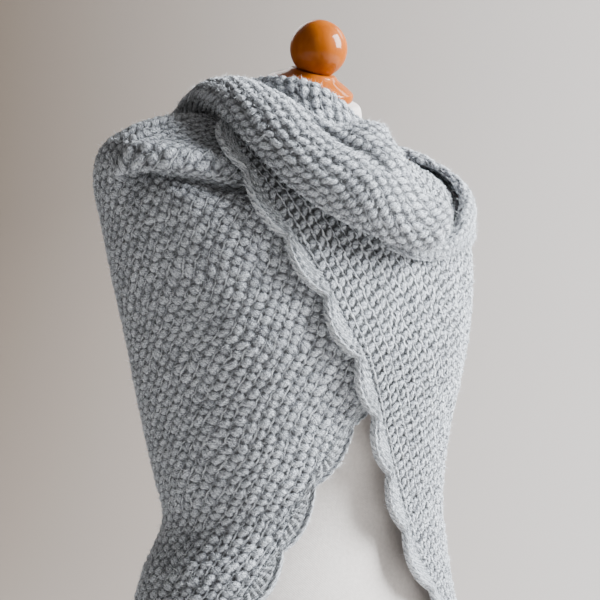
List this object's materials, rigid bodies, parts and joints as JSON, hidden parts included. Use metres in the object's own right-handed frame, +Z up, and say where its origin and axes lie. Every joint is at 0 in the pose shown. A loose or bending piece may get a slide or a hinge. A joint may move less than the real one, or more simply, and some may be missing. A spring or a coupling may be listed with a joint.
{
  "type": "triangle shawl on dress form",
  "caption": "Chunky crocheted triangle shawl with scalloped edges, wrapped across the chest, rolled round the neck and thrown over both shoulders of a limbless dress form on a stand.",
  "frame": {"origin": "centre of the stand's underside", "axes": "+Z up, -Y the way the wearer faces, +X to the wearer's left"},
  "size_m": [0.4493, 0.3482, 1.037],
  "materials": {
    "varnished_wood": "glossy orange varnish",
    "linen": "plain pale linen weave",
    "crochet": "light blue-grey heather yarn in rows of puff stitches",
    "crochet_border": "the same yarn in a row of fans with a chain-like rim"
  },
  "bodies": {
    "root": {"stand_base": "varnished_wood", "stand_pole": "varnished_wood", "form_plate": "varnished_wood", "form_torso": "linen", "neck_cap": "varnished_wood", "neck_ball": "varnished_wood", "shawl_right_half": "crochet", "border_right_half": "crochet_border", "shawl_left_half": "crochet", "border_left_half": "crochet_border", "collar_roll": "crochet", "neck_edge": "crochet", "right_shoulder_tip": "crochet", "right_shoulder_tip_border": "crochet_border", "left_shoulder_tip": "crochet", "left_shoulder_tip_border": "crochet_border"}
  },
  "joints": []
}
